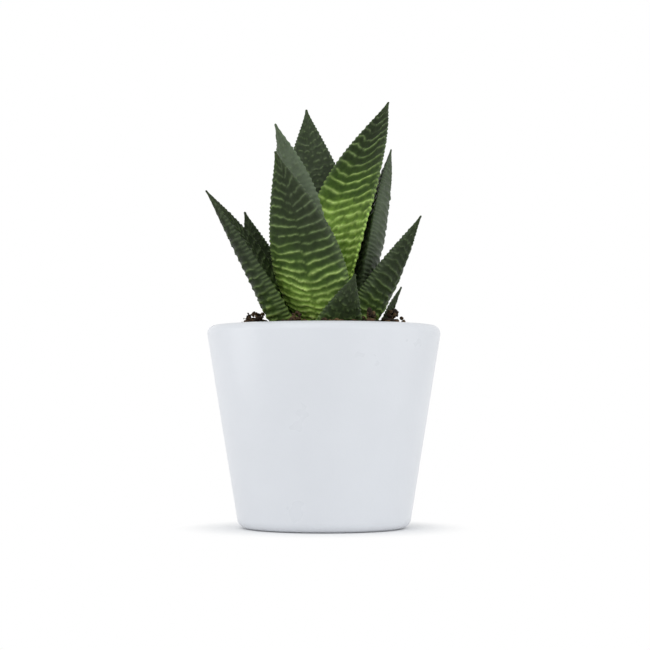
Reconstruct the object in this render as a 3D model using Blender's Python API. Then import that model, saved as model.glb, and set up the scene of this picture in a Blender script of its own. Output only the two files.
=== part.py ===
"""Potted haworthia: a small rosette succulent growing in a plain white glazed pot.

Sizes are in metres.  +Z is up, the pot stands on Z = 0 with its axis on the Z axis, the front
of the plant faces -Y and the tallest leaf leans to +X.
"""
import math

import bmesh
import bpy
import numpy as np
from mathutils import Vector

MM = 0.001

# ---- driving dimensions -------------------------------------------------------------------
RIM_RADIUS = 35.0 * MM            # widest radius of the pot, just under the lip
RIM_LEVEL = 58.0 * MM             # height of that widest radius
POT_HEIGHT = 60.5 * MM            # top of the lip
HEEL_RADIUS = 26.0 * MM           # outside radius where the wall meets the heel
HEEL_LEVEL = 3.0 * MM             # height of the rounded heel
FOOT_RADIUS = 22.5 * MM           # outer edge of the standing ring
FOOT_INNER = 18.5 * MM            # inner edge of the standing ring
FOOT_RECESS = 1.0 * MM            # depth of the recess inside the ring
WALL = 4.2 * MM                   # wall thickness at the lip
FLOOR_TOP = 6.0 * MM              # inside floor level
POT_SEGMENTS = 56

GAP = 0.3 * MM                    # clearance kept between neighbouring pieces

MOUND_TOP = 60.8 * MM             # soil level round the rosette
SOIL_EDGE = 56.8 * MM             # soil level against the pot wall
MOUND_RADIUS = 22.0 * MM          # where the mound starts to fall away
SOIL_SECTORS = 60
SOIL_CLEAR = 1.7 * MM             # how far the soil stays clear of a leaf, sideways

STEM_BOTTOM = 34.0 * MM
STEM_TOP = 58.0 * MM
CROWN_RADIUS = 4.0 * MM           # root crown, under the lowest leaves
STEM_RADIUS = 1.5 * MM            # the stem between the leaf bases

LEAF_RINGS = 20
LEAF_AROUND = 12
BASE_SHARE = 0.42                 # width of a leaf at its attachment over its widest width


# ---- general helpers ----------------------------------------------------------------------
for old in list(bpy.data.objects):
    bpy.data.objects.remove(old, do_unlink=True)


def material(name, colour, roughness, metallic=0.0):
    mat = bpy.data.materials.new(name)
    mat.use_nodes = True
    shader = mat.node_tree.nodes["Principled BSDF"]
    shader.inputs["Base Color"].default_value = (*colour, 1.0)
    shader.inputs["Roughness"].default_value = roughness
    shader.inputs["Metallic"].default_value = metallic
    return mat


def finish_object(name, bm, mat, smooth=True):
    bmesh.ops.recalc_face_normals(bm, faces=bm.faces)
    mesh = bpy.data.meshes.new(name)
    bm.to_mesh(mesh)
    bm.free()
    mesh.materials.append(mat)
    for poly in mesh.polygons:
        poly.use_smooth = smooth
    obj = bpy.data.objects.new(name, mesh)
    bpy.context.scene.collection.objects.link(obj)
    return obj


def skin_rings(bm, rings, closed_start=None, closed_end=None):
    """Quads between successive closed rings, with an optional pole point at each end."""
    rows = [[bm.verts.new(p) for p in ring] for ring in rings]
    count = len(rows[0])
    for low, high in zip(rows, rows[1:]):
        for k in range(count):
            n = (k + 1) % count
            bm.faces.new((low[k], low[n], high[n], high[k]))
    if closed_start is not None:
        pole = bm.verts.new(closed_start)
        for k in range(count):
            bm.faces.new((pole, rows[0][(k + 1) % count], rows[0][k]))
    if closed_end is not None:
        pole = bm.verts.new(closed_end)
        for k in range(count):
            bm.faces.new((pole, rows[-1][k], rows[-1][(k + 1) % count]))
    return rows


def ring_at(radius, level, segments):
    step = 2 * math.pi / segments
    return [Vector((radius * math.cos(k * step), radius * math.sin(k * step), level))
            for k in range(segments)]


def arc(centre_r, centre_z, radius_r, radius_z, start, end, steps):
    """Points of an elliptical arc in the (radius, height) plane; angles in degrees."""
    points = []
    for k in range(steps + 1):
        angle = math.radians(start + (end - start) * k / steps)
        points.append((centre_r + radius_r * math.cos(angle), centre_z + radius_z * math.sin(angle)))
    return points


# ---- materials ----------------------------------------------------------------------------
glaze = material("white_glaze", (0.72, 0.74, 0.78), 0.32)
earth = material("potting_soil", (0.045, 0.030, 0.020), 0.95)
bark = material("bark_chip", (0.085, 0.050, 0.028), 0.90)
stalk = material("stem_tissue", (0.33, 0.36, 0.16), 0.60)
leaf_green = material("leaf_green", (0.060, 0.105, 0.030), 0.45)


# ---- pot ----------------------------------------------------------------------------------
def pot_profile():
    """Half section of the pot, from the middle of its underside round to the inside floor."""
    lip = 2.3 * MM
    inner_top = RIM_RADIUS - WALL
    inner_low = HEEL_RADIUS - WALL + 0.6 * MM
    points = [(FOOT_INNER - 1.0 * MM, FOOT_RECESS), (FOOT_INNER, 0.0), (FOOT_RADIUS, 0.0)]
    points += arc(FOOT_RADIUS, HEEL_LEVEL, HEEL_RADIUS - FOOT_RADIUS, HEEL_LEVEL, -75, 0, 5)
    points += [(HEEL_RADIUS + (RIM_RADIUS - HEEL_RADIUS) * f,
                HEEL_LEVEL + (RIM_LEVEL - HEEL_LEVEL) * f) for f in (0.33, 0.67)]
    points += arc(RIM_RADIUS - lip, RIM_LEVEL, lip, POT_HEIGHT - RIM_LEVEL, 0, 90, 4)
    points += arc(inner_top + 1.2 * MM, POT_HEIGHT - 1.2 * MM, 1.2 * MM, 1.2 * MM, 90, 180, 3)
    points += arc(inner_low - 3.0 * MM, FLOOR_TOP + 3.0 * MM, 3.0 * MM, 3.0 * MM, 0, -75, 3)
    return points


bm = bmesh.new()
rings = [ring_at(r, z, POT_SEGMENTS) for r, z in pot_profile()]
skin_rings(bm, rings, Vector((0, 0, FOOT_RECESS)), Vector((0, 0, FLOOR_TOP)))
pot = finish_object("pot", bm, glaze)


# ---- leaves -------------------------------------------------------------------------------
def leaf_outline(t, widest):
    """Half width of a leaf at the share t of its length, over its widest half width."""
    if t < widest:
        return BASE_SHARE + (1 - BASE_SHARE) * math.sin(t / widest * math.pi / 2) ** 1.2
    return math.sin(math.pi / 2 * (1 - t) / (1 - widest)) ** 1.08


def leaf_sections(rings, around, azimuth, radius, height, lean_base, lean_tip, length, width,
                  thick, channel, roll_base, roll_tip, sweep, widest, grow=0.0):
    """Cross sections of one leaf, from its attachment to its tip, and its two end points.

    The midrib starts at `radius` and `height` on the side `azimuth`, leans `lean_base` degrees
    from the vertical there and `lean_tip` degrees at the tip, and swings round by `sweep`.
    The section is a lens: `thick` deep at the widest place, keeled below and hollowed above by
    `channel`; it is turned about the midrib from `roll_base` to `roll_tip` degrees.
    """
    step = length / (rings - 1)
    side = math.radians(azimuth)
    centre = Vector((radius * math.cos(side), radius * math.sin(side), height))
    sections = []
    previous = None
    for k in range(rings):
        t = k / (rings - 1)
        ease = 0.35 * t * t * (3 - 2 * t) + 0.65 * (1 - (1 - t) ** 1.6)
        lean = math.radians(lean_base + (lean_tip - lean_base) * ease)
        turn = math.radians(azimuth + sweep * t)
        roll = math.radians(roll_base + (roll_tip - roll_base) * t)
        along = Vector((math.sin(lean) * math.cos(turn), math.sin(lean) * math.sin(turn), math.cos(lean)))
        if previous is not None:
            centre = centre + (along + previous) / 2 * step
        previous = along
        across_flat = Vector((-math.sin(turn), math.cos(turn), 0))
        up_flat = Vector((-math.cos(lean) * math.cos(turn), -math.cos(lean) * math.sin(turn), math.sin(lean)))
        across = across_flat * math.cos(roll) + up_flat * math.sin(roll)
        upper = up_flat * math.cos(roll) - across_flat * math.sin(roll)
        share = leaf_outline(t, widest)
        half = width / 2 * share
        body = thick * max(share, 0.0) ** 0.85
        ring = []
        for j in range(around):
            angle = 2 * math.pi * j / around
            x = math.cos(angle)
            h = abs(math.sin(angle))
            cup = channel * half * (x * x - 0.5) * min(1.0, 3 * t)
            depth = 0.28 * body * h if math.sin(angle) >= 0 else -0.72 * body * h ** 0.9
            depth += grow * h if math.sin(angle) >= 0 else -grow * h
            ring.append(centre + across * (half + grow) * x + upper * (cup + depth))
        sections.append((centre.copy(), ring))
    return sections


LEAVES = {}


def leaf(name, azimuth, radius, height, lean, length, width, thick, channel, roll, sweep, widest=0.36):
    """One leaf; lengths in millimetres, angles in degrees, lean and roll as (base, tip)."""
    sizes = dict(azimuth=azimuth, radius=radius * MM, height=height * MM, lean_base=lean[0],
                 lean_tip=lean[1], length=length * MM, width=width * MM, thick=thick * MM,
                 channel=channel, roll_base=roll[0], roll_tip=roll[1], sweep=sweep, widest=widest)
    LEAVES[name] = sizes
    sections = leaf_sections(LEAF_RINGS, LEAF_AROUND, **sizes)
    shell = bmesh.new()
    skin_rings(shell, [ring for _, ring in sections[:-1]], sections[0][0], sections[-1][0])
    return finish_object(name, shell, leaf_green)


# inner whorl
leaf("leaf_right_tall", azimuth=11, radius=2.5, height=59.0, lean=(-6, 39), length=79.5,
     width=26.0, thick=3.5, channel=0.25, roll=(20, -3), sweep=51)
leaf("leaf_back_tall", azimuth=99, radius=7.0, height=58.0, lean=(10, 18), length=74.5,
     width=25.5, thick=4.0, channel=0.25, roll=(11, -17), sweep=9)
leaf("leaf_left_upper", azimuth=229, radius=6.5, height=62.5, lean=(0, 20), length=59.0,
     width=20.0, thick=3.5, channel=0.30, roll=(-31, 36), sweep=-31)
leaf("leaf_right_edge", azimuth=14, radius=5.0, height=59.5, lean=(10, 27), length=60.0,
     width=21.0, thick=7.5, channel=0.25, roll=(23, -49), sweep=40)
leaf("leaf_heart", azimuth=182, radius=1.0, height=61.0, lean=(7, 6), length=37.0,
     width=9.5, thick=4.0, channel=0.30, roll=(3, 2), sweep=1)

# middle whorl
leaf("leaf_front_large", azimuth=267, radius=4.0, height=52.0, lean=(38, 18), length=64.5,
     width=23.0, thick=4.0, channel=0.20, roll=(-39, 70), sweep=-63)
leaf("leaf_left_small", azimuth=166, radius=8.0, height=54.5, lean=(29, 19), length=45.0,
     width=16.0, thick=3.5, channel=0.30, roll=(-12, -33), sweep=-15, widest=0.35)
leaf("leaf_back_left", azimuth=126, radius=5.5, height=49.5, lean=(35, 23), length=44.0,
     width=15.0, thick=5.0, channel=0.25, roll=(-8, -5), sweep=0, widest=0.35)
leaf("leaf_back_right", azimuth=57, radius=5.0, height=50.0, lean=(37, 21), length=43.5,
     width=15.0, thick=5.0, channel=0.25, roll=(-1, 0), sweep=-3, widest=0.35)
leaf("leaf_right_low", azimuth=341, radius=3.5, height=49.0, lean=(28, 40), length=52.5,
     width=17.0, thick=5.5, channel=0.25, roll=(-2, 13), sweep=-26, widest=0.35)

# outer whorl
leaf("leaf_left_low", azimuth=220, radius=5.5, height=46.5, lean=(22, 43), length=63.5,
     width=15.0, thick=7.0, channel=0.30, roll=(-37, -43), sweep=-15, widest=0.35)
leaf("leaf_front_small", azimuth=280, radius=3.0, height=42.5, lean=(42, 32), length=39.5,
     width=16.5, thick=2.5, channel=0.25, roll=(4, -22), sweep=24, widest=0.35)
leaf("leaf_right_small", azimuth=15, radius=6.0, height=45.0, lean=(40, 28), length=33.0,
     width=12.0, thick=2.0, channel=0.25, roll=(30, -26), sweep=-10, widest=0.35)
leaf("leaf_back_small", azimuth=93, radius=5.0, height=45.0, lean=(51, 13), length=33.5,
     width=12.0, thick=3.5, channel=0.25, roll=(0, -2), sweep=3, widest=0.35)

# ---- stem with its root crown and roots ---------------------------------------------------
def stem_rings(grow, segments=16):
    levels = [(CROWN_RADIUS - 1.6 * MM, STEM_BOTTOM), (CROWN_RADIUS, STEM_BOTTOM + 2.0 * MM),
              (CROWN_RADIUS - 0.5 * MM, STEM_BOTTOM + 4.5 * MM), (STEM_RADIUS, STEM_BOTTOM + 6.5 * MM),
              (STEM_RADIUS, STEM_TOP - 1.0 * MM), (STEM_RADIUS - 0.8 * MM, STEM_TOP)]
    return [ring_at(r + grow, z, segments) for r, z in levels]


def root_rings(azimuth, reach, drop, grow, segments=8, steps=6):
    """A fleshy tapering root, running out and down from the root crown."""
    side = math.radians(azimuth)
    rings = []
    for k in range(steps + 1):
        t = k / steps
        out = 1.5 * MM + reach * t
        fall = drop * t * t
        centre = Vector((out * math.cos(side), out * math.sin(side), STEM_BOTTOM + 2.0 * MM - fall))
        along = Vector((reach * math.cos(side), reach * math.sin(side), -2 * drop * t)).normalized()
        across = Vector((-math.sin(side), math.cos(side), 0))
        upper = along.cross(across)
        radius = (1.4 - 0.8 * t) * MM + grow
        centre = centre + along * grow * (1 if k == steps else 0)
        rings.append([centre + (across * math.cos(a) + upper * math.sin(a)) * radius
                      for a in (2 * math.pi * j / segments for j in range(segments))])
    return rings


def ring_middle(ring):
    return sum(ring, Vector()) / len(ring)


def solid_from_rings(name, rings, mat, smooth=True):
    shell = bmesh.new()
    skin_rings(shell, rings, ring_middle(rings[0]), ring_middle(rings[-1]))
    return finish_object(name, shell, mat, smooth)


def hide_cutter(obj):
    obj.hide_render = True
    obj.display_type = "WIRE"


def boolean(target, cutter, operation):
    hide_cutter(cutter)
    mod = target.modifiers.new(cutter.name, "BOOLEAN")
    mod.operation = operation
    mod.solver = "EXACT"
    mod.object = cutter


ROOTS = {"root_a": (20, 17 * MM, 22 * MM), "root_b": (95, 15 * MM, 26 * MM), "root_c": (160, 17 * MM, 20 * MM),
         "root_d": (230, 15 * MM, 25 * MM), "root_e": (305, 17 * MM, 23 * MM)}

stem = solid_from_rings("stem", stem_rings(0.0), stalk)
for name, (azimuth, reach, drop) in ROOTS.items():
    boolean(stem, solid_from_rings(name, root_rings(azimuth, reach, drop, 0.0), stalk), "UNION")


# ---- soil ---------------------------------------------------------------------------------
def leaf_points():
    """Points spread over the lower half of every leaf, used to keep the soil clear of them."""
    points = []
    for sizes in LEAVES.values():
        for _, ring in leaf_sections(50, 24, **sizes):
            points.extend(ring)
    return np.array([p for p in points if p.z < MOUND_TOP + 4 * MM])


def mound_level(radius):
    if radius <= MOUND_RADIUS:
        return MOUND_TOP
    f = (radius - MOUND_RADIUS) / (soil_radius(SOIL_EDGE) - MOUND_RADIUS)
    return MOUND_TOP + (SOIL_EDGE - MOUND_TOP) * min(1.0, f) ** 1.7


def soil_radius(level):
    """Radius of the soil against the inside of the pot wall."""
    inner_top = RIM_RADIUS - WALL
    inner_low = HEEL_RADIUS - WALL + 0.6 * MM
    low = FLOOR_TOP + 3.0 * MM
    f = (level - low) / (POT_HEIGHT - 1.2 * MM - low)
    return inner_low + (inner_top - inner_low) * f - GAP * 1.4


def soil_top():
    """Rings of the soil surface: a mound drawn down under the leaves and round the stem."""
    near = leaf_points()
    edge = soil_radius(SOIL_EDGE)
    radii = [3.0, 4.6, 6.2, 7.8, 9.4, 11.0, 12.6, 14.2, 15.8, 17.4, 19.0, 21.0, 23.5, 27.0]
    rings = []
    for r in [edge] + [q * MM for q in reversed(radii)]:
        ring = ring_at(r, 0.0, SOIL_SECTORS)
        for point in ring:
            level = mound_level(r)
            flat = np.hypot(near[:, 0] - point.x, near[:, 1] - point.y)
            under = near[flat < SOIL_CLEAR]
            if len(under):
                level = min(level, float(under[:, 2].min()) - 1.2 * MM)
            if r < CROWN_RADIUS + 2.0 * MM:
                level = min(level, STEM_BOTTOM + 4.0 * MM)
            point.z = level
        rings.append(ring)
    return rings


bottom = FLOOR_TOP + GAP
top = soil_top()
side = [ring_at(soil_radius(SOIL_EDGE * f + (FLOOR_TOP + 4 * MM) * (1 - f)),
                SOIL_EDGE * f + (FLOOR_TOP + 4 * MM) * (1 - f), SOIL_SECTORS) for f in (0.0, 0.33, 0.67)]
low = soil_radius(FLOOR_TOP + 4 * MM)
base = [ring_at(low - 4.0 * MM, bottom, SOIL_SECTORS), ring_at(low - 1.2 * MM, bottom + 1.2 * MM, SOIL_SECTORS)]
soil = solid_from_rings("soil", base + side + top, earth)

boolean(soil, solid_from_rings("stem_socket", stem_rings(GAP), earth), "DIFFERENCE")
for name, (azimuth, reach, drop) in ROOTS.items():
    boolean(soil, solid_from_rings(name + "_run", root_rings(azimuth, reach, drop, GAP), earth), "DIFFERENCE")


# ---- bark chips lying on the soil ---------------------------------------------------------
def chip(name, azimuth, radius, length, width, depth, turn, tilt):
    """A rough-sided flake of bark; lengths in millimetres, angles in degrees."""
    shell = bmesh.new()
    corners = [(1.0, 0.1), (0.55, 0.8), (-0.25, 1.0), (-0.9, 0.55), (-1.0, -0.35), (-0.35, -0.95), (0.6, -0.75)]
    low_ring = [Vector((x * length / 2, y * width / 2, -depth / 2)) for x, y in corners]
    high_ring = [Vector((x * length * 0.40, y * width * 0.42, depth / 2)) for x, y in corners]
    middle_ring = [Vector((x * length * 0.53, y * width * 0.53, 0.0)) for x, y in corners]
    skin_rings(shell, [low_ring, middle_ring, high_ring], ring_middle(low_ring), ring_middle(high_ring))
    side_angle = math.radians(azimuth)
    highest = mound_level((radius - length / 2) * MM) / MM
    level = highest + depth / 2 + 0.25 + width / 2 * abs(math.sin(math.radians(tilt)))
    place = Vector((radius * math.cos(side_angle), radius * math.sin(side_angle), level))
    turn_angle = math.radians(turn)
    tilt_angle = math.radians(tilt)
    for vert in shell.verts:
        p = vert.co.copy()
        p = Vector((p.x, p.y * math.cos(tilt_angle) - p.z * math.sin(tilt_angle),
                    p.y * math.sin(tilt_angle) + p.z * math.cos(tilt_angle)))
        p = Vector((p.x * math.cos(turn_angle) - p.y * math.sin(turn_angle),
                    p.x * math.sin(turn_angle) + p.y * math.cos(turn_angle), p.z))
        vert.co = (p + place) * MM
    return finish_object(name, shell, bark, smooth=False)


chip("chip_left_a", azimuth=178, radius=22.5, length=3.4, width=2.0, depth=1.1, turn=20, tilt=6)
chip("chip_left_b", azimuth=194, radius=20.5, length=2.8, width=1.8, depth=1.2, turn=80, tilt=-5)
chip("chip_left_c", azimuth=166, radius=20.0, length=3.0, width=2.0, depth=1.1, turn=-30, tilt=0)
chip("chip_right_a", azimuth=2, radius=21.5, length=3.2, width=2.2, depth=1.2, turn=70, tilt=5)
chip("chip_right_b", azimuth=346, radius=20.0, length=2.6, width=1.8, depth=1.2, turn=15, tilt=-4)
chip("chip_right_c", azimuth=32, radius=24.0, length=2.6, width=1.8, depth=1.0, turn=-40, tilt=0)
chip("chip_front_a", azimuth=250, radius=24.0, length=3.6, width=2.2, depth=1.0, turn=10, tilt=0)
chip("chip_front_b", azimuth=302, radius=25.5, length=3.0, width=2.0, depth=1.0, turn=-50, tilt=0)
chip("chip_back_a", azimuth=78, radius=25.0, length=3.8, width=2.2, depth=1.1, turn=60, tilt=0)
chip("chip_back_b", azimuth=112, radius=26.0, length=3.0, width=1.8, depth=1.0, turn=-15, tilt=0)
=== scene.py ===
"""Looks of the potted haworthia: ridged leaves, glazed pot, crumbly soil and a plain studio."""
import math

import bmesh
import bpy
import numpy as np
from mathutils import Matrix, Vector


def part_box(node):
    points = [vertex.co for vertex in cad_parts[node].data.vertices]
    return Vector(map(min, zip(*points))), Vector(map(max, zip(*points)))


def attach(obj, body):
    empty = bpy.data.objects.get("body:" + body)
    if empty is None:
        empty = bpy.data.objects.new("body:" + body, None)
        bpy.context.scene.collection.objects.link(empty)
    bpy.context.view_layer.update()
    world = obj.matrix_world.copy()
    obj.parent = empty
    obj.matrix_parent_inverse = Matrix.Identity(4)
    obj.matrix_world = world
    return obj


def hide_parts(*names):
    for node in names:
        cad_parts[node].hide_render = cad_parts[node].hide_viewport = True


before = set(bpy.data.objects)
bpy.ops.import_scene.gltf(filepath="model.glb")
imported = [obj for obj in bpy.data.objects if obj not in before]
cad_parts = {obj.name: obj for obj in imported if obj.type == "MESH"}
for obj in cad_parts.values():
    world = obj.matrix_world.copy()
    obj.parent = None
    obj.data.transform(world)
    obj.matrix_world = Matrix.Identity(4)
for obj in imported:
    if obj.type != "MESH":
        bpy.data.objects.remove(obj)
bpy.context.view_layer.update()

bl_info = {
    "name": "Potted haworthia",
    "version": (1, 0, 0),
    "blender": (4, 5, 0),
    "location": "View3D > Sidebar > Haworthia",
    "description": "Builds the finished surfaces of a small potted succulent round its solid model",
    "category": "Add Mesh",
}

MM = 0.001
BODY = "root"

# What sets one leaf apart from the next.  pitch: distance between cross ridges (mm);
# dip: how far a ridge drops at the keel (mm); fold: where the keel lies, from -1 to 1 across;
# lime: share of the length that stays lime green; lean: painted shade on one half of the back;
# pale: paleness of the ridge crests; broken: how far the ridges break up into warts;
# painted_sheen: painted grey sheen over the whole leaf; deep: painted shade of a leaf lying in shade.
LOOK_KEYS = ("pitch", "dip", "fold", "lime", "lean", "pale", "broken", "painted_sheen", "deep")
LEAF_LOOKS = {
    "leaf_front_large": (2.5, 2.0, 0.1, 0.45, 0.2, 0.9, 0.1, 0.12, 0.0),
    "leaf_right_tall": (3.2, 2.2, 0.3, 0.56, 0.0, 1.0, 0.05, 0.0, 0.0),
    "leaf_back_tall": (2.4, 1.0, 0.0, 0.1, 0.0, 0.9, 0.65, 0.3, 0.0),
    "leaf_left_upper": (3.4, 1.5, 0.0, 0.3, 0.0, 0.6, 0.75, 1.1, 0.0),
    "leaf_right_edge": (2.4, 1.5, 0.0, 0.05, 0.0, 0.45, 0.2, 0.9, 0.3),
    "leaf_heart": (2.4, 1.0, 0.0, 0.7, 0.0, 0.6, 0.2, 0.1, 0.0),
    "leaf_left_small": (2.2, 1.0, 0.0, 0.05, 0.0, 0.5, 0.6, 0.1, 0.1),
    "leaf_back_left": (2.6, 2.0, 0.05, 0.3, 0.0, 0.6, 0.2, 0.15, 0.1),
    "leaf_back_right": (2.6, 2.0, -0.05, 0.3, 0.0, 0.6, 0.2, 0.15, 0.1),
    "leaf_right_low": (2.4, 1.5, 0.0, 0.38, 0.0, 0.5, 0.3, 0.15, 0.25),
    "leaf_left_low": (2.6, 2.0, 0.0, 0.36, 0.0, 0.6, 0.2, 0.05, 0.35),
    "leaf_front_small": (2.6, 1.5, 0.0, 0.55, 0.0, 0.35, 0.7, 0.2, 0.0),
    "leaf_right_small": (2.2, 1.0, 0.0, 0.2, 0.0, 0.3, 0.4, 0.15, 0.15),
    "leaf_back_small": (2.4, 1.0, 0.0, 0.25, 0.0, 0.45, 0.4, 0.15, 0.2),
}
SEED_STEP, SEED_START = 100, 7     # noise seeds of the leaves, in the order of the table

FACE_SHARE = 0.28       # share of a blade's thickness on its upper side
TIP_DENSITY = 1.3       # how much closer the rows lie towards the tip
TIP_ROUND = 0.4         # radius that blunts the tip (mm)
KEEL_RISE = 0.35 * MM   # sharp ridge along the back of the blade
MARGIN = 0.90           # share of the half width at which the beaded margin starts
RELIEF_LEVEL = 0.35     # ridge height that stays on the smooth blade
LIME_RANGE = (-0.25, 0.35)  # the green ages from lime to dusk over this span round `lime`

SOIL_ROWS, SOIL_COLUMNS = 110, 300
SOIL_FLOOR_SHARE = 0.74     # radius of the soil's underside, as a share of its edge
CRUMB_SEED = 11
MOUND_DROP = 4.0 * MM       # fall of the soil from the middle to the wall
MOUND_RADIUS = 22.0 * MM    # level ground round the plant
HEAP_RADIUS = 2.8 * MM      # crumbs heaped round each bark chip
HEAP_HEIGHT = 4.4 * MM
CRUMB_LIMIT = 2.4 * MM
CHIP_ROUGHNESS = 0.16 * MM

SHADOW_HELD = (0.023, 0.046)    # radii between which the floor fades from shadowed to white
LAMP_SIZE = 0.60
LAMPS = (   # name, place, aim, power
    ("key_lamp", (-0.35, -0.70, 0.75), (0, 0, 0.07), 1.7),
    ("fill_lamp", (0.60, -0.60, 0.35), (0, 0, 0.06), 1.2),
    ("left_lamp", (-0.90, -0.10, 0.20), (0, 0, 0.05), 1.6),
    ("right_lamp", (0.90, -0.10, 0.20), (0, 0, 0.05), 0.8),
)
WHITE = (1.0, 1.0, 1.0, 1.0)

GRAIN = "surface_grain"
GRAIN_INPUTS = ("Scale", "Detail", "Roughness", "Fine Scale", "Fine Detail", "Fine Roughness",
                "Fine Share", "Strength", "Distance")


# ---- settings that a user would change ----------------------------------------------------
def colour_property(name, description, default):
    return bpy.props.FloatVectorProperty(name=name, description=description, default=default,
                                         subtype="COLOR", size=3, min=0.0, max=1.0)


class HaworthiaLeafSettings(bpy.types.PropertyGroup):
    rows: bpy.props.IntProperty(name="Rows", description="Rows of points along a leaf",
                                default=260, min=40)
    columns: bpy.props.IntProperty(name="Columns", default=52, min=12,
                                   description="Columns of points on each side of a leaf")
    relief: bpy.props.FloatProperty(name="Relief", description="Height of the cross ridges",
                                    default=0.45 * MM, unit="LENGTH")
    lime: colour_property("Lime", "Young green at the base of a leaf", (0.350, 0.570, 0.090))
    green: colour_property("Green", "Green of the middle of a leaf", (0.070, 0.135, 0.018))
    dusk: colour_property("Dusk", "Dark green of the upper leaf", (0.034, 0.058, 0.014))
    tip: colour_property("Tip", "Grey green of the tip", (0.034, 0.048, 0.020))
    # colour of the painted grey sheen on the leaves
    painted_sheen: colour_property("Painted sheen", "Grey of the painted sheen", (0.150, 0.190, 0.125))
    stem_dark: colour_property("Stem dark", "Darker part of the stem and roots", (0.24, 0.27, 0.11))
    stem_pale: colour_property("Stem pale", "Paler part of the stem and roots", (0.42, 0.42, 0.22))


class HaworthiaPotSettings(bpy.types.PropertyGroup):
    segments: bpy.props.IntProperty(name="Segments", description="Points round the pot",
                                    default=180, min=24)
    waver: bpy.props.FloatProperty(name="Waver", description="Unevenness of the glazed wall",
                                   default=0.10 * MM, unit="LENGTH")
    glaze: colour_property("Glaze", "Colour of the glaze", (0.715, 0.735, 0.770))


class HaworthiaSoilSettings(bpy.types.PropertyGroup):
    crumbs: bpy.props.IntProperty(name="Crumbs", description="Loose crumbs on the soil",
                                  default=900, min=0)
    crumb: bpy.props.FloatProperty(name="Crumb size", description="Mean width of a crumb",
                                   default=1.1 * MM, unit="LENGTH")
    peat: colour_property("Peat", "Dark part of the soil", (0.020, 0.013, 0.008))
    fibre: colour_property("Fibre", "Pale part of the soil", (0.130, 0.080, 0.036))
    bark_dark: colour_property("Bark dark", "Darker part of the bark chips", (0.040, 0.022, 0.012))
    bark_pale: colour_property("Bark pale", "Paler part of the bark chips", (0.16, 0.095, 0.05))


class HaworthiaStageSettings(bpy.types.PropertyGroup):
    distance: bpy.props.FloatProperty(name="Distance", description="Camera to the pot's axis",
                                      default=0.542, unit="LENGTH")
    height: bpy.props.FloatProperty(name="Height", description="Camera above the floor",
                                    default=0.0364, unit="LENGTH")
    pitch: bpy.props.FloatProperty(name="Pitch", description="Upward tilt of the camera",
                                   default=math.radians(2.568), subtype="ANGLE")
    lens: bpy.props.FloatProperty(name="Lens", description="Focal length of the camera (mm)",
                                  default=100.0)
    floor: colour_property("Floor", "Colour of the floor", (0.93, 0.93, 0.93))


# ---- numbers and meshes -------------------------------------------------------------------
def soft_step(low, high, value):
    """0 up to `low`, 1 from `high` on, and a smooth rise between them."""
    f = np.clip((value - low) / (high - low), 0.0, 1.0)
    return f * f * (3 - 2 * f)


def waver(points, seed):
    """Smooth uneven values from -1 to 1, for an array of points with three coordinates."""
    points = np.asarray(points, float)
    cell = np.floor(points).astype(np.int64)
    part = points - cell
    part = part * part * (3 - 2 * part)
    total = np.zeros(points.shape[:-1])
    for corner in range(8):
        step = np.array([corner & 1, corner >> 1 & 1, corner >> 2 & 1])
        key = cell + step
        n = (key[..., 0] * 374761393 + key[..., 1] * 668265263 + key[..., 2] * 1274126177
             + seed * 144269504)
        n = (n ^ (n >> 13)) * 1103515245
        value = ((n ^ (n >> 16)) & 0xFFFF) / 32767.5 - 1
        weight = np.prod(np.where(step == 1, part, 1 - part), axis=-1)
        total += value * weight
    return total


def grid(*axes):
    """One array of points from three arrays of coordinates."""
    return np.stack(np.broadcast_arrays(*axes), axis=-1)


def through(rows, where):
    """Points of a smooth curve through the rows of an array, at fractional row numbers."""
    rows = np.asarray(rows, float)
    last = len(rows) - 1
    start = np.clip(np.floor(where).astype(int), 0, last - 1)
    f = (where - start).reshape((-1,) + (1,) * (rows.ndim - 1))
    a, b = rows[np.clip(start - 1, 0, last)], rows[start]
    c, d = rows[start + 1], rows[np.clip(start + 2, 0, last)]
    return 0.5 * (2 * b + (c - a) * f + (2 * a - 5 * b + 4 * c - d) * f ** 2
                  + (3 * b - a - 3 * c + d) * f ** 3)


def unit(vectors):
    return vectors / np.maximum(np.linalg.norm(vectors, axis=-1, keepdims=True), 1e-12)


def closed_tube(points, start, end):
    """Points and faces of a tube whose rings are the rows of an array, closed by two poles."""
    rows, count = points.shape[:2]
    verts = np.concatenate([points.reshape(-1, 3), [start, end]])
    index = np.arange(rows * count).reshape(rows, count)
    low, high = index[:-1], index[1:]
    quads = np.stack([low, np.roll(low, -1, 1), np.roll(high, -1, 1), high], -1).reshape(-1, 4)
    faces = quads.tolist()
    first, last = index[0], index[-1]
    for k in range(count):
        n = (k + 1) % count
        faces.append([rows * count, int(first[n]), int(first[k])])
        faces.append([rows * count + 1, int(last[k]), int(last[n])])
    return verts, faces


def new_piece(name, verts, faces, material):
    """A smooth-shaded object with its faces turned outwards."""
    mesh = bpy.data.meshes.new(name)
    mesh.from_pydata([tuple(v) for v in verts], [], faces)
    mesh.materials.append(material)
    shell = bmesh.new()
    shell.from_mesh(mesh)
    bmesh.ops.recalc_face_normals(shell, faces=shell.faces)
    shell.to_mesh(mesh)
    shell.free()
    for poly in mesh.polygons:
        poly.use_smooth = True
    piece = bpy.data.objects.new(name, mesh)
    bpy.context.scene.collection.objects.link(piece)
    return piece


def with_poles(values, start, end):
    """Values of a closed tube's ring points with those of its two poles added."""
    return np.concatenate([values.ravel(), [start, end]])


def add_values(piece, name, values):
    """Store one number per point for the materials to read."""
    layer = piece.data.attributes.new(name, "FLOAT", "POINT")
    layer.data.foreach_set("value", np.asarray(values, np.float32).ravel())


def stand_for(piece, slot, *nodes):
    """Fix a piece to the body and hide the solids it stands for; slot is not used."""
    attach(piece, BODY)
    if nodes:
        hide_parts(*nodes)


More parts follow.
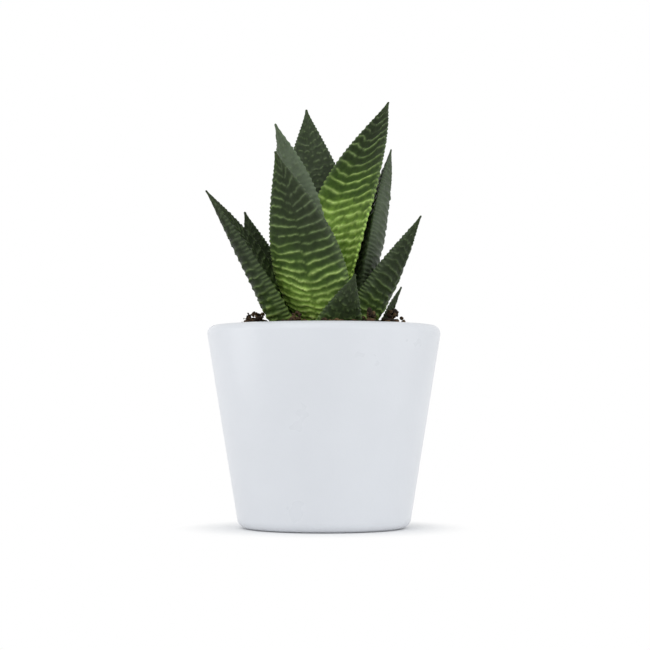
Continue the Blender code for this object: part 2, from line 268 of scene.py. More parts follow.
def merged_copy(node):
    """A mesh that can be edited, with the loose triangles of a solid's surface joined up."""
    shell = bmesh.new()
    shell.from_mesh(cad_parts[node].data)
    bmesh.ops.remove_doubles(shell, verts=shell.verts, dist=0.01 * MM)
    return shell


# ---- shader helpers -----------------------------------------------------------------------
def node_for(tree, kind, **inputs):
    node = tree.nodes.new(kind)
    for name, value in inputs.items():
        socket = node.inputs[name.replace("_", " ")]
        if isinstance(value, bpy.types.NodeSocket):
            tree.links.new(value, socket)
        else:
            socket.default_value = value
    return node


def mix_colour(tree, factor, first, second, blend="MIX"):
    node = tree.nodes.new("ShaderNodeMix")
    node.data_type = "RGBA"
    node.blend_type = blend
    for index, value in ((0, factor), (6, first), (7, second)):
        if isinstance(value, bpy.types.NodeSocket):
            tree.links.new(value, node.inputs[index])
        elif index == 0:
            node.inputs[0].default_value = value
        else:
            node.inputs[index].default_value = (*value[:3], 1.0)
    return node.outputs[2]


def maths(tree, operation, first, second, third=None):
    node = tree.nodes.new("ShaderNodeMath")
    node.operation = operation
    for socket, value in zip(node.inputs, (first, second, third)):
        if value is None:
            continue
        if isinstance(value, bpy.types.NodeSocket):
            tree.links.new(value, socket)
        else:
            socket.default_value = value
    return node.outputs[0]


def ramp(tree, factor, stops):
    node = tree.nodes.new("ShaderNodeValToRGB")
    node.color_ramp.interpolation = "EASE"
    elements = node.color_ramp.elements
    elements[0].position, elements[0].color = stops[0][0], (*stops[0][1], 1.0)
    elements[1].position, elements[1].color = stops[-1][0], (*stops[-1][1], 1.0)
    for place, colour in stops[1:-1]:
        elements.new(place).color = (*colour, 1.0)
    tree.links.new(factor, node.inputs[0])
    return node.outputs[0]


def attribute(tree, name):
    node = tree.nodes.new("ShaderNodeAttribute")
    node.attribute_name = name
    return node.outputs["Fac"]


def noise(tree, place, scale, detail=4.0, roughness=0.55):
    node = tree.nodes.new("ShaderNodeTexNoise")
    tree.links.new(place, node.inputs["Vector"])
    node.inputs["Scale"].default_value = scale
    node.inputs["Detail"].default_value = detail
    node.inputs["Roughness"].default_value = roughness
    return node.outputs["Fac"]


def grain_group():
    """Shared node group: a normal roughened by a coarse noise and a share of a finer one."""
    if GRAIN in bpy.data.node_groups:
        return bpy.data.node_groups[GRAIN]
    group = bpy.data.node_groups.new(GRAIN, "ShaderNodeTree")
    group.interface.new_socket("Place", in_out="INPUT", socket_type="NodeSocketVector")
    for label in GRAIN_INPUTS:
        group.interface.new_socket(label, in_out="INPUT", socket_type="NodeSocketFloat")
    group.interface.new_socket("Normal", in_out="OUTPUT", socket_type="NodeSocketVector")
    given = group.nodes.new("NodeGroupInput").outputs
    coarse, fine = (node_for(group, "ShaderNodeTexNoise", Vector=given["Place"],
                             **{part: given[label + part] for part in ("Scale", "Detail", "Roughness")}
                             ).outputs["Fac"] for label in ("", "Fine "))
    height = maths(group, "ADD", coarse, maths(group, "MULTIPLY", fine, given["Fine Share"]))
    relief = node_for(group, "ShaderNodeBump", Strength=given["Strength"], Distance=given["Distance"],
                      Height=height)
    group.links.new(relief.outputs["Normal"], group.nodes.new("NodeGroupOutput").inputs["Normal"])
    return group


def grain(tree, place, coarse, strength, distance, fine=(1.0, 0.0, 0.5), share=0.0):
    """Normal of a grained surface; coarse and fine hold a noise's scale, detail and roughness."""
    node = tree.nodes.new("ShaderNodeGroup")
    node.node_tree = grain_group()
    tree.links.new(place, node.inputs["Place"])
    for label, value in zip(GRAIN_INPUTS, (*coarse, *fine, share, strength, distance)):
        node.inputs[label].default_value = value
    return node.outputs["Normal"]


def seen_directly(tree):
    """1 for rays from the camera and those mirrored or let through by a surface, else 0."""
    rays = tree.nodes.new("ShaderNodeLightPath").outputs
    seen = maths(tree, "ADD", rays["Is Camera Ray"], rays["Is Glossy Ray"])
    return maths(tree, "MINIMUM", maths(tree, "ADD", seen, rays["Is Transmission Ray"]), 1.0)


def blend_shaders(tree, share, first, second, output):
    """Lead a blend of two shaders to a material's or world's output."""
    mixer = tree.nodes.new("ShaderNodeMixShader")
    tree.links.new(share, mixer.inputs["Fac"])
    tree.links.new(first.outputs[0], mixer.inputs[1])
    tree.links.new(second.outputs[0], mixer.inputs[2])
    tree.links.new(mixer.outputs[0], tree.nodes[output].inputs["Surface"])


def new_material(name):
    material = bpy.data.materials.new(name)
    material.use_nodes = True
    tree = material.node_tree
    shader = tree.nodes["Principled BSDF"]
    place = tree.nodes.new("ShaderNodeTexCoord").outputs["Object"]
    return material, tree, shader, place


def leaf_material(colours):
    """Leaf skin: lime to dusky green, pale crests, painted light and shade on the ridges, painted sheen and
    shade, fine cells.
    """
    material, tree, shader, place = new_material("leaf_skin")
    link = tree.links.new
    cloud = noise(tree, place, 260.0, 5.0, 0.6)
    age = maths(tree, "ADD", attribute(tree, "age"), maths(tree, "MULTIPLY_ADD", cloud, 0.36, -0.18))
    body = ramp(tree, age, [(0.0, colours.lime), (0.38, colours.green), (0.72, colours.dusk),
                            (1.0, colours.tip)])
    light = ramp(tree, age, [(0.0, (0.62, 0.76, 0.28)), (0.4, (0.42, 0.54, 0.18)),
                             (0.75, (0.22, 0.30, 0.12)), (1.0, (0.13, 0.17, 0.09))])
    fleck = noise(tree, place, 1300.0, 3.0, 0.7)
    crest = maths(tree, "MULTIPLY", attribute(tree, "crest"),
                  maths(tree, "MULTIPLY_ADD", fleck, 0.9, 0.45))
    skin = mix_colour(tree, crest, body, light)
    shade = noise(tree, place, 620.0, 4.0, 0.65)
    mottle = ramp(tree, shade, [(0.30, (0.72, 0.74, 0.70)), (0.70, (1.22, 1.2, 1.24))])
    # Painted shade and highlight: the furrows between the ridges are darkened and the ridge tops lightened.
    painted_ridge_shading = ramp(tree, attribute(tree, "ridge"), [(0.0, (0.52, 0.55, 0.50)), (0.45, (1.02, 1.02, 1.0)),
                                                    (1.0, (1.5, 1.5, 1.45))])
    for tone in (mottle, painted_ridge_shading):
        skin = mix_colour(tree, 1.0, skin, tone, "MULTIPLY")
    # Painted sheen: the skin is greyed leaf by leaf and along the margins, as for the white surround
    # mirrored on it.
    painted_sheen = maths(tree, "MULTIPLY", attribute(tree, "painted_sheen"),
                  maths(tree, "MULTIPLY_ADD", cloud, 0.8, 0.55))
    skin = mix_colour(tree, painted_sheen, skin, colours.painted_sheen)
    # Painted shade: leaves that lie in the rosette's shadow are darkened towards near black.
    skin = mix_colour(tree, attribute(tree, "deep"), skin, (0.012, 0.018, 0.008))
    link(skin, shader.inputs["Base Color"])
    link(maths(tree, "MULTIPLY_ADD", shade, 0.22, 0.36), shader.inputs["Roughness"])
    cells = grain(tree, place, (2600.0, 2.0, 0.55), 0.35, 0.2 * MM, (1300.0, 3.0, 0.7), 0.6)
    link(cells, shader.inputs["Normal"])
    shader.inputs["Specular IOR Level"].default_value = 0.08
    shader.inputs["Subsurface Weight"].default_value = 0.10
    shader.inputs["Subsurface Radius"].default_value = (0.5, 1.0, 0.25)
    shader.inputs["Subsurface Scale"].default_value = 1.2 * MM
    return material


def glaze_material(colour):
    """Satin white glaze: slight mottling, faint specks and a softly wavy surface."""
    material, tree, shader, place = new_material("white_glaze")
    link = tree.links.new
    cloud = noise(tree, place, 28.0, 3.0)
    tone = ramp(tree, cloud, [(0.25, tuple(c * 0.975 for c in colour)),
                              (0.75, tuple(min(1, c * 1.02) for c in colour))])
    speck = ramp(tree, noise(tree, place, 900.0, 2.0), [(0.0, (0.80, 0.79, 0.77)), (0.24, (1, 1, 1)),
                                                        (1.0, (1, 1, 1))])
    link(mix_colour(tree, 0.08, tone, speck, "MULTIPLY"), shader.inputs["Base Color"])
    patches = noise(tree, place, 70.0, 3.0)
    link(maths(tree, "MULTIPLY_ADD", patches, 0.16, 0.22), shader.inputs["Roughness"])
    waves = grain(tree, place, (130.0, 2.0, 0.55), 0.18, 0.6 * MM, (1500.0, 2.0, 0.55), 0.12)
    link(waves, shader.inputs["Normal"])
    shader.inputs["Specular IOR Level"].default_value = 0.40
    return material


def soil_material(name, dark, pale):
    """Damp peat with paler fibres and crumbs; `tint` shifts each crumb's colour."""
    material, tree, shader, place = new_material(name)
    link = tree.links.new
    mix = maths(tree, "ADD", noise(tree, place, 420.0, 6.0, 0.7), attribute(tree, "tint"))
    middle = tuple((a + b) / 2 for a, b in zip(dark, pale))
    olive = (pale[0] * 0.8, pale[1] * 1.15, pale[2] * 0.9)
    tone = ramp(tree, mix, [(0.30, dark), (0.55, middle), (0.80, pale), (1.0, olive)])
    link(tone, shader.inputs["Base Color"])
    shader.inputs["Roughness"].default_value = 0.9
    shader.inputs["Specular IOR Level"].default_value = 0.25
    link(grain(tree, place, (1100.0, 6.0, 0.7), 0.8, 0.5 * MM), shader.inputs["Normal"])
    return material


# ---- leaves -------------------------------------------------------------------------------
def solid_rings(node):
    """Rings of points of a leaf's solid from its attachment to its tip, and the tip point."""
    shell = merged_copy(node)
    tip = max(shell.verts, key=lambda v: v.co.z)
    seen, front, rings = {tip}, [tip], []
    while front:
        step = []
        for vert in front:
            for edge in vert.link_edges:
                other = edge.other_vert(vert)
                if other not in seen:
                    seen.add(other)
                    step.append(other)
        if step:
            rings.append(step)
        front = step
    count = len(rings[0])
    ordered = [walk_round(ring) for ring in rings if len(ring) == count]
    tip_point = np.array(tip.co)
    shell.free()
    return line_up(ordered[::-1]), tip_point


def walk_round(ring):
    """The places of a ring's points, in order round the ring."""
    left = set(ring)
    vert = ring[0]
    order = [vert]
    left.discard(vert)
    while left:
        near = [e.other_vert(vert) for e in vert.link_edges if e.other_vert(vert) in left]
        vert = near[0] if near else min(left, key=lambda v: (v.co - vert.co).length)
        order.append(vert)
        left.discard(vert)
    return np.array([v.co for v in order])


def line_up(rings):
    """Turns and flips each ring so that its points follow those of the ring before it."""
    rows = [rings[0]]
    for ring in rings[1:]:
        before = rows[-1] - rows[-1].mean(0)
        best = None
        for turned in (ring, ring[::-1]):
            for k in range(len(ring)):
                trial = np.roll(turned, k, axis=0)
                miss = float(((trial - trial.mean(0) - before) ** 2).sum())
                if best is None or miss < best[0]:
                    best = (miss, trial)
        rows.append(best[1])
    return np.array(rows)


def leaf_frame(node):
    """Margins, upper side and thickness of a leaf's solid, ring by ring, with the tip last."""
    rings, tip = solid_rings(node)
    count = rings.shape[1]
    half_turn = count // 2
    spans = [np.linalg.norm(rings[2:, k] - rings[2:, k + half_turn], axis=-1).mean()
             for k in range(half_turn)]
    rings = np.roll(rings, -int(np.argmax(spans)), axis=1)
    quarter = half_turn // 2
    one, two = rings[:, quarter], rings[:, quarter + half_turn]
    low = len(rings) // 4
    inward = -rings[low].mean(0) * np.array([1, 1, 0])
    if np.dot(one[low] - two[low], inward) < 0:
        one, two = two, one
    start, end = rings[:, 0], rings[:, half_turn]
    centre = (start + end) / 2
    across = unit(end - start)
    onward = rings[low + 1].mean(0) - rings[low].mean(0)
    if np.dot(np.cross(across[low], unit(one[low] - two[low])), onward) < 0:
        across = -across
    half = np.linalg.norm(end - start, axis=-1) / 2
    upper = one - two
    upper = unit(upper - across * (upper * across).sum(-1, keepdims=True))
    top = ((one - centre) * upper).sum(-1)
    bottom = ((two - centre) * upper).sum(-1)
    body = top - bottom
    cup = FACE_SHARE * body - top
    centre = np.concatenate([centre, [tip]])
    across = np.concatenate([across, across[-1:]])
    upper = np.concatenate([upper, upper[-1:]])
    half, body, cup = (np.append(v, 0.0) for v in (half, body, cup))
    return centre, across, upper, half, body, cup


def ridge_field(side, x, s, t, half, look, seed):
    """Height (0 to 1) and crest mask (0 to 1) of the cross ridges on one side of a leaf."""
    pitch = look["pitch"] * (0.72 + 0.28 * soft_step(0.10, 0.50, t))
    count = np.cumsum(np.gradient(s) / pitch)[:, None]
    away = np.abs(x - look["fold"])
    phase = count + look["dip"] / look["pitch"] * (1 - np.clip(away, 0, 1)) ** 1.4
    phase = phase + 0.40 * waver(grid(x * 1.6, count * 0.22, side * 9.0), seed)
    phase = phase + 0.16 * waver(grid(x * 6.0, count * 0.8, side * 5.0 + 2), seed + 1)
    jitter = waver(grid(x * 15.0, count * 2.0, side * 5.0 + 4), seed + 5)
    phase = phase + 0.14 * jitter * soft_step(0.6, 0.3, t)[:, None]
    phase = phase + np.where(x > look["fold"], 0.12 + 0.5 * look["broken"], 0.0)
    number = np.floor(phase)
    place = phase - number - 0.5
    size = 0.85 + 0.35 * waver(grid(number * 0.77, x * 2.2, side * 3.0), seed + 2)
    gaps = waver(grid(number * 1.37, x * (5.0 + 9.0 * look["broken"]), side * 3.0 + 1), seed + 3)
    kept = soft_step(-0.75, -0.35, gaps + 0.15 - 0.9 * look["broken"])
    kept = np.maximum(kept, 0.25 * (1 - look["broken"]))
    at_fold = np.exp(-((x - look["fold"]) / 0.05) ** 2)
    kept = kept * (1 - 0.55 * at_fold)
    low = soft_step(0.62, 0.25, t)[:, None]
    line = np.exp(-(place / (0.10 + 0.10 * low)) ** 2)
    swell = 0.5 + 0.5 * np.cos(2 * math.pi * place)
    warts = waver(grid(x * half[:, None] * 1.3, s[:, None] * 1.3, side * 3.0 + 5), seed + 4)
    warts = np.clip(warts, 0, 1)
    height = size * kept * (0.68 * line + 0.32 * swell) + look["broken"] * 0.5 * warts
    return height, line * kept * np.clip(size, 0, 1.2) + look["broken"] * 0.7 * warts


def grow_leaf(name, look, seed, settings, material):
    """One leaf: a smooth keeled blade with washboard ridges, beaded margins and a pointed tip."""
    centre, across, upper, half, body, cup = leaf_frame(name)
    rows, columns = settings.rows, settings.columns
    where = (len(centre) - 1) * (1 - np.linspace(1, 0, rows)[:-1] ** TIP_DENSITY)
    middle = through(centre, where)
    side_way, up_way = unit(through(across, where)), unit(through(upper, where))
    wide, thick, hollow = (np.maximum(through(v, where), 1e-6) for v in (half, body, cup))
    t = where / (len(centre) - 1)
    to_tip = np.minimum(np.linalg.norm(middle - centre[-1], axis=-1) / MM, TIP_ROUND)
    blunt = np.sqrt(np.clip(TIP_ROUND ** 2 - (TIP_ROUND - to_tip) ** 2, 0, None)) * MM
    wide = (wide ** 3 + blunt ** 3) ** (1 / 3)
    thick = (thick ** 3 + (1.3 * blunt) ** 3) ** (1 / 3)
    length = np.linalg.norm(np.diff(centre, axis=0), axis=-1).sum()
    s = t * length / MM
    x = np.sin(np.linspace(-1, 1, columns + 1) * math.pi / 2)
    round_x = np.concatenate([x, x[-2:0:-1]])
    on_top = np.concatenate([np.zeros(columns + 1), np.ones(columns - 1)])
    bow = np.clip(1 - round_x ** 2, 0, 1)
    upper_side = FACE_SHARE * thick[:, None] * bow ** 0.5
    lower_side = (FACE_SHARE - 1) * thick[:, None] * bow ** 0.45
    depth = -hollow[:, None] * bow + np.where(on_top == 1, upper_side, lower_side)
    keel = np.exp(-((round_x - look["fold"]) / 0.10) ** 2) * (1 - on_top)
    keel_growth = soft_step(0.35, 0.75, t)[:, None] * soft_step(0, 3 * MM, wide)[:, None]
    depth = depth - KEEL_RISE * keel * keel_growth
    blade = (middle[:, None] + side_way[:, None] * (wide[:, None] * round_x)[..., None]
             + up_way[:, None] * depth[..., None])
    out = np.cross(np.roll(blade, -1, 1) - np.roll(blade, 1, 1), np.gradient(blade, axis=0))
    out = unit(out)
    if ((out * (blade - middle[:, None])).sum(-1)).mean() < 0:
        out = -out
    back_height, back_crest = ridge_field(0, x[None], s, t, wide / MM, look, seed)
    top_height, top_crest = ridge_field(1, x[None], s, t, wide / MM, look, seed + 20)
    height = np.concatenate([back_height, top_height[:, -2:0:-1]], 1)
    crest = np.concatenate([back_crest, top_crest[:, -2:0:-1]], 1)
    edge = soft_step(MARGIN, 1.0, np.abs(round_x))[None]
    beads = 0.5 + 0.5 * np.sin(s[:, None] * 2 * math.pi / (look["pitch"] * 0.5)
                               + 2.0 * waver(grid(s[:, None] * 0.4, np.sign(round_x), 0.0), seed + 9))
    fade = (soft_step(0.0, 0.05, t) * soft_step(0.0, 4.0, wide / MM) ** 0.7)[:, None]
    height = height * (1 - edge) + 0.75 * beads * edge
    blade = blade + out * (settings.relief * fade * (height - RELIEF_LEVEL))[..., None]
    verts, faces = closed_tube(blade, middle[0], centre[-1])
    piece = new_piece(name + "_skin", verts, faces, material)
    # Painted shade: the back is darkened towards one margin, for the facet beside the keel turned from the
    # light.
    lean = look["lean"] * round_x[None] * (1 - on_top)[None]
    young, old = (look["lime"] + shift for shift in LIME_RANGE)
    age = soft_step(young, old, t)[:, None] * 0.95 + lean
    pale = look["pale"] * (1 - 0.62 * t[:, None]) * (1 - edge) + edge * 0.5 * beads
    crest = (crest * (1 - edge) + edge * 0.6) * pale
    # Painted sheen: the margins are greyed, as for the white surround mirrored at a grazing angle.
    painted_rim_sheen = soft_step(0.80, 1.0, np.abs(round_x))[None] * soft_step(0.15, 0.4, t)[:, None]
    painted_sheen = look["painted_sheen"] * 0.55 + 0.16 * painted_rim_sheen
    ridge = np.clip(height * fade + RELIEF_LEVEL * (1 - fade), 0, 1)
    add_values(piece, "ridge", with_poles(ridge, 0.4, 0.4))
    add_values(piece, "age", with_poles(np.clip(age, 0, 1), 0.0, 1.0))
    add_values(piece, "crest", with_poles(np.clip(crest, 0, 1), 0.0, 0.0))
    add_values(piece, "painted_sheen", with_poles(np.broadcast_to(painted_sheen, height.shape), 0.0, 0.2))
    # painted shade of a leaf that lies in the rosette's shadow
    add_values(piece, "deep", with_poles(np.full(height.shape, look["deep"] * 0.8), 0.0, 0.0))
    stand_for(piece, "leaf", name)


class HAWORTHIA_OT_leaves(bpy.types.Operator):
    """Grow the ridged leaves of the rosette round their solids"""
    bl_idname = "haworthia.leaves"
    bl_label = "Leaves"

    def execute(self, context):
        settings = context.scene.haworthia_leaf
        material = leaf_material(settings)
        for number, (name, row) in enumerate(LEAF_LOOKS.items()):
            look = dict(zip(LOOK_KEYS, row))
            grow_leaf(name, look, SEED_STEP * number + SEED_START, settings, material)
        return {"FINISHED"}


# ---- pot ----------------------------------------------------------------------------------
def pot_section():
    """Radius and height along the pot solid's half section, from its underside to its inside floor."""
    shell = merged_copy("pot")
    cut = {v for v in shell.verts if abs(v.co.y) < 0.001 * MM and v.co.x > 0}
    near = {v: [e.other_vert(v) for e in v.link_edges if e.other_vert(v) in cut] for v in cut}
    vert = min((v for v in cut if len(near[v]) == 1), key=lambda v: v.co.z)
    walk = [vert]
    while True:
        ahead = [v for v in near[walk[-1]] if v not in walk]
        if not ahead:
            break
        walk.append(ahead[0])
    section = [(v.co.x, v.co.z) for v in walk]
    shell.free()
    if len(section) < 8:
        raise RuntimeError("the pot's section could not be followed")
    return section


class HAWORTHIA_OT_pot(bpy.types.Operator):
    """Turn the tapered pot, a little uneven, in a satin white glaze"""
    bl_idname = "haworthia.pot"
    bl_label = "Pot"

    def execute(self, context):
        settings = context.scene.haworthia_pot
        section = pot_section()
        bpy.ops.object.select_all(action="DESELECT")
        bpy.ops.mesh.primitive_circle_add(vertices=settings.segments, radius=section[0][0],
                                          fill_type="NGON", location=(0, 0, section[0][1]))
        pot = context.active_object
        pot.name = "glazed_pot"
        bpy.ops.object.mode_set(mode="EDIT")
        bpy.ops.mesh.select_all(action="SELECT")
        for (radius, level), (next_radius, next_level) in zip(section, section[1:]):
            rise = (0, 0, next_level - level)
            bpy.ops.mesh.extrude_region_move(TRANSFORM_OT_translate={"value": rise})
            share = next_radius / radius
            bpy.ops.transform.resize(value=(share, share, 1), center_override=(0, 0, next_level))
        bpy.ops.mesh.select_all(action="SELECT")
        bpy.ops.mesh.normals_make_consistent(inside=False)
        bpy.ops.object.mode_set(mode="OBJECT")
        bpy.ops.object.transform_apply(location=True, rotation=True, scale=True)
        bpy.ops.object.shade_smooth_by_angle(angle=math.radians(40))
        for vert in pot.data.vertices:
            x, y, z = vert.co / MM
            shift = float(waver(np.array([x * 0.06, y * 0.06, z * 0.10]), 2)) * settings.waver
            if z > 1.5:
                vert.co.x += shift * x / math.hypot(x, y)
                vert.co.y += shift * y / math.hypot(x, y)
        pot.data.materials.append(glaze_material(settings.glaze))
        stand_for(pot, "pot_glaze", "pot")
        return {"FINISHED"}


# ---- soil, stem and chips -----------------------------------------------------------------
def soil_level(radius, angle):
    """Height of the mounded soil at a place, in metres, with its lumps."""
    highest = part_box("soil")[1]
    outward = np.clip((radius - MOUND_RADIUS) / (highest.x - MOUND_RADIUS), 0, 1)
    level = highest.z - MOUND_DROP * outward ** 1.7
    places = grid(radius * np.cos(angle) / MM, radius * np.sin(angle) / MM, 0.0)
    level = level + 0.45 * MM * waver(places * 0.30, 3) + 0.30 * MM * waver(places * 0.85, 5)
    return level + 0.16 * MM * waver(places * 2.1, 8) - 0.3 * MM


def crumb_shape():
    """Points and faces of the round blank that every crumb is made from."""
    shell = bmesh.new()
    bmesh.ops.create_icosphere(shell, subdivisions=2, radius=0.5)
    verts = np.array([v.co for v in shell.verts])
    faces = np.array([[v.index for v in f.verts] for f in shell.faces])
    shell.free()
    return verts, faces


class HAWORTHIA_OT_soil(bpy.types.Operator):
    """Fill the pot with lumpy peat and scatter loose crumbs over it"""
    bl_idname = "haworthia.soil"
    bl_label = "Soil"

    def execute(self, context):
        settings = context.scene.haworthia_soil
        material = soil_material("peat", settings.peat, settings.fibre)
        lowest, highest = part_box("soil")
        edge = highest.x
        radii = edge * np.linspace(1.0, 0.02, SOIL_ROWS)[:, None]
        angles = np.linspace(0, 2 * math.pi, SOIL_COLUMNS, endpoint=False)[None]
        level = soil_level(radii, angles)
        top = grid(radii * np.cos(angles), radii * np.sin(angles), level)
        floor_radius = edge * SOIL_FLOOR_SHARE
        side = np.stack([grid(np.cos(angles[0]) * r, np.sin(angles[0]) * r, z)
                         for r, z in ((floor_radius * 0.9, lowest.z), (floor_radius, lowest.z + 2 * MM))])
        verts, faces = closed_tube(np.concatenate([side, top]), (0, 0, lowest.z),
                                   (0, 0, float(level[-1].mean())))
        soil = new_piece("soil_mound", verts, faces, material)
        add_values(soil, "tint", np.zeros(len(verts)))
        stand_for(soil, "soil", "soil")
        self.scatter(settings, edge, material)
        return {"FINISHED"}

    def scatter(self, settings, edge, material):
        """Strew crumbs over the soil, every third of them heaped round a bark chip."""
        rng = np.random.default_rng(CRUMB_SEED)
        shape, triangles = crumb_shape()
        verts, faces, tints = [], [], []
        heaps = [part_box(n) for n in sorted(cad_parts) if n.startswith("chip_")]
        for k in range(settings.crumbs):
            radius = edge * math.sqrt(rng.uniform(0.18, 0.97))
            angle = rng.uniform(0, 2 * math.pi)
            lift = 0.0
            if k % 3 == 0:
                low, high = heaps[k // 3 % len(heaps)]
                reach = rng.uniform(0, 1) ** 0.7
                turn = rng.uniform(0, 2 * math.pi)
                x = (low.x + high.x) / 2 + reach * HEAP_RADIUS * math.cos(turn)
                y = (low.y + high.y) / 2 + reach * HEAP_RADIUS * math.sin(turn)
                radius, angle = math.hypot(x, y), math.atan2(y, x)
                lift = rng.uniform(0, HEAP_HEIGHT) * (1 - reach ** 2)
            size = settings.crumb * rng.lognormal(-0.1, 0.38)
            size = min(size, CRUMB_LIMIT)
            radius = min(radius, edge - size * 0.6)
            scale = size * rng.uniform(0.6, 1.15, 3)
            lumps = shape * (1 + 0.28 * waver(shape * 2.4 + rng.uniform(0, 50, 3), k)[:, None])
            turn = np.linalg.qr(rng.normal(size=(3, 3)))[0]
            level = float(soil_level(np.array(radius), np.array(angle)))
            middle = np.array([radius * math.cos(angle), radius * math.sin(angle),
                               level + lift + size * 0.22])
            faces.append(triangles + k * len(shape))
            verts.append(lumps * scale @ turn + middle)
            tints.append(np.full(len(shape), rng.normal(0.0, 0.17)))
        crumbs = new_piece("soil_crumbs", np.concatenate(verts), np.concatenate(faces).tolist(),
                           material)
        add_values(crumbs, "tint", np.concatenate(tints))
        stand_for(crumbs, "soil")


class HAWORTHIA_OT_chips(bpy.types.Operator):
    """Roughen the bark chips that lie on the soil"""
    bl_idname = "haworthia.chips"
    bl_label = "Bark chips"

    def execute(self, context):
        settings = context.scene.haworthia_soil
        material = soil_material("bark_chips", settings.bark_dark, settings.bark_pale)
        for seed, name in enumerate(sorted(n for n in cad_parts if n.startswith("chip_"))):
            shell = merged_copy(name)
            bmesh.ops.subdivide_edges(shell, edges=shell.edges, cuts=3, use_grid_fill=True)
            bmesh.ops.triangulate(shell, faces=shell.faces)
            bmesh.ops.smooth_vert(shell, verts=shell.verts, factor=0.5, use_axis_x=True,
                                  use_axis_y=True, use_axis_z=True)
            places = np.array([v.co for v in shell.verts])
            shift = CHIP_ROUGHNESS * np.stack([waver(places * 1500, seed + k) for k in range(3)], -1)
            new = places + shift
            faces = [[v.index for v in f.verts] for f in shell.faces]
            shell.free()
            chip = new_piece(name + "_bark", new, faces, material)
            add_values(chip, "tint", np.full(len(new), 0.05 * (seed % 3)))
            stand_for(chip, "bark", name)
        return {"FINISHED"}


class HAWORTHIA_OT_stem(bpy.types.Operator):
    """Colour the stem and its roots"""
    bl_idname = "haworthia.stem"
    bl_label = "Stem"

    def execute(self, context):
        material, tree, shader, place = new_material("stem_skin")
        settings = context.scene.haworthia_leaf
        tone = ramp(tree, noise(tree, place, 500.0), [(0.3, settings.stem_dark), (0.7, settings.stem_pale)])
        tree.links.new(tone, shader.inputs["Base Color"])
        skin = grain(tree, place, (900.0, 4.0, 0.55), 0.5, 0.4 * MM)
        tree.links.new(skin, shader.inputs["Normal"])
        shader.inputs["Roughness"].default_value = 0.65
        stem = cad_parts["stem"]
        stem.data.materials.clear()
        stem.data.materials.append(material)
        return {"FINISHED"}


# ---- stage --------------------------------------------------------------------------------
def floor_material(colour):
    """Pale floor that holds the pot's shadow close by and runs out into white."""
    material, tree, shader, place = new_material("studio_floor")
    shader.inputs["Base Color"].default_value = (*colour, 1.0)
    shader.inputs["Roughness"].default_value = 0.9
    shader.inputs["Specular IOR Level"].default_value = 0.1
    glow = node_for(tree, "ShaderNodeEmission", Color=WHITE, Strength=1.0)
    reach = node_for(tree, "ShaderNodeVectorMath", Vector=place)
    reach.operation = "LENGTH"
    far = node_for(tree, "ShaderNodeMapRange", Value=reach.outputs["Value"],
                   From_Min=SHADOW_HELD[0], From_Max=SHADOW_HELD[1])
    far.interpolation_type = "SMOOTHSTEP"
    share = maths(tree, "MULTIPLY", seen_directly(tree), far.outputs["Result"])
    blend_shaders(tree, share, shader, glow, "Material Output")
    return material


def soft_lamp(name, place, aim, power):
    """A round soft lamp turned towards a point."""
    data = bpy.data.lights.new(name, "AREA")
    data.shape = "DISK"
    data.size = LAMP_SIZE
    data.energy = power
    lamp = bpy.data.objects.new(name, data)
    lamp.location = place
    lamp.rotation_euler = (Vector(aim) - Vector(place)).to_track_quat("-Z", "Y").to_euler()
    bpy.context.scene.collection.objects.link(lamp)


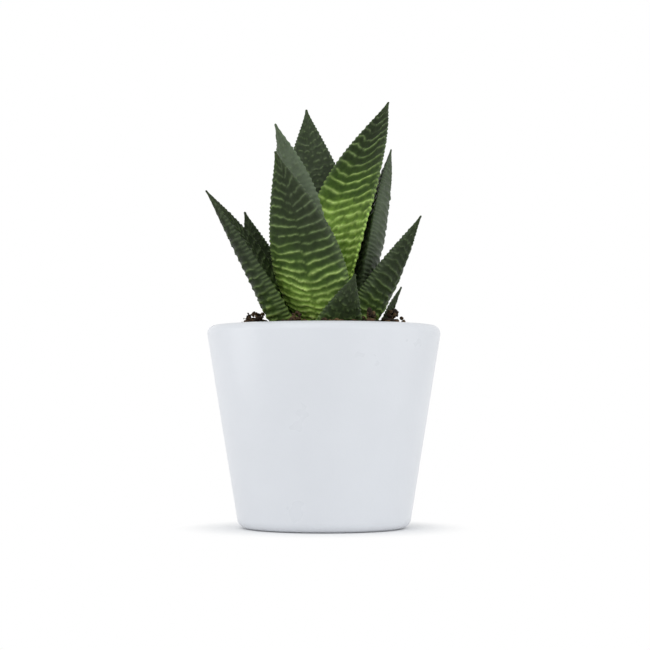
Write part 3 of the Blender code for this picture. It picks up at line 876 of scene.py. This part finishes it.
class HAWORTHIA_OT_stage(bpy.types.Operator):
    """Set the floor, the white surround, the soft lamps and the camera"""
    bl_idname = "haworthia.stage"
    bl_label = "Stage"

    def execute(self, context):
        settings = context.scene.haworthia_stage
        scene = context.scene
        scene.view_settings.view_transform = "Standard"
        bpy.ops.object.select_all(action="DESELECT")
        bpy.ops.mesh.primitive_plane_add(size=6.0, location=(0, 0, -0.02 * MM))
        floor = context.active_object
        floor.name = "studio_floor"
        bpy.ops.object.transform_apply(location=True, rotation=True, scale=True)
        floor.data.materials.append(floor_material(settings.floor))
        self.surround(scene)
        for lamp in LAMPS:
            soft_lamp(*lamp)
        camera_data = bpy.data.cameras.new("camera")
        camera_data.lens = settings.lens
        camera_data.sensor_width = 36.0
        camera_data.clip_start = 0.01
        camera = bpy.data.objects.new("camera", camera_data)
        camera.location = (0.3 * MM, -settings.distance, settings.height)
        camera.rotation_euler = (math.pi / 2 + settings.pitch, 0, 0)
        scene.collection.objects.link(camera)
        scene.camera = camera
        return {"FINISHED"}

    def surround(self, scene):
        """Soft even light from all round that looks plain white when seen."""
        world = bpy.data.worlds.new("white_surround")
        scene.world = world
        world.use_nodes = True
        tree = world.node_tree
        lighting = tree.nodes["Background"]
        lighting.inputs["Color"].default_value = (0.97, 0.985, 1.0, 1.0)
        lighting.inputs["Strength"].default_value = 0.72
        white = node_for(tree, "ShaderNodeBackground", Color=WHITE, Strength=1.0)
        blend_shaders(tree, seen_directly(tree), lighting, white, "World Output")


class HAWORTHIA_PT_panel(bpy.types.Panel):
    """Settings and steps of the potted haworthia"""
    bl_idname = "HAWORTHIA_PT_panel"
    bl_label = "Potted haworthia"
    bl_space_type = "VIEW_3D"
    bl_region_type = "UI"
    bl_category = "Haworthia"

    def draw(self, context):
        for group in SETTINGS:
            settings = getattr(context.scene, group)
            for name in settings.bl_rna.properties.keys():
                if name not in ("rna_type", "name"):
                    self.layout.prop(settings, name)
        for step in STEPS:
            self.layout.operator(step.bl_idname)


SETTINGS = {"haworthia_leaf": HaworthiaLeafSettings, "haworthia_pot": HaworthiaPotSettings,
            "haworthia_soil": HaworthiaSoilSettings, "haworthia_stage": HaworthiaStageSettings}
STEPS = (HAWORTHIA_OT_stage, HAWORTHIA_OT_pot, HAWORTHIA_OT_soil, HAWORTHIA_OT_stem,
         HAWORTHIA_OT_chips, HAWORTHIA_OT_leaves)
CLASSES = (*SETTINGS.values(), *STEPS, HAWORTHIA_PT_panel)


def register():
    for cls in CLASSES:
        bpy.utils.register_class(cls)
    for name, group in SETTINGS.items():
        setattr(bpy.types.Scene, name, bpy.props.PointerProperty(type=group))


def unregister():
    for name in SETTINGS:
        delattr(bpy.types.Scene, name)
    for cls in reversed(CLASSES):
        bpy.utils.unregister_class(cls)


def main():
    register()
    bpy.ops.haworthia.stage()
    bpy.ops.haworthia.pot()
    bpy.ops.haworthia.soil()
    bpy.ops.haworthia.stem()
    bpy.ops.haworthia.chips()
    bpy.ops.haworthia.leaves()


if __name__ == "__main__":
    main()
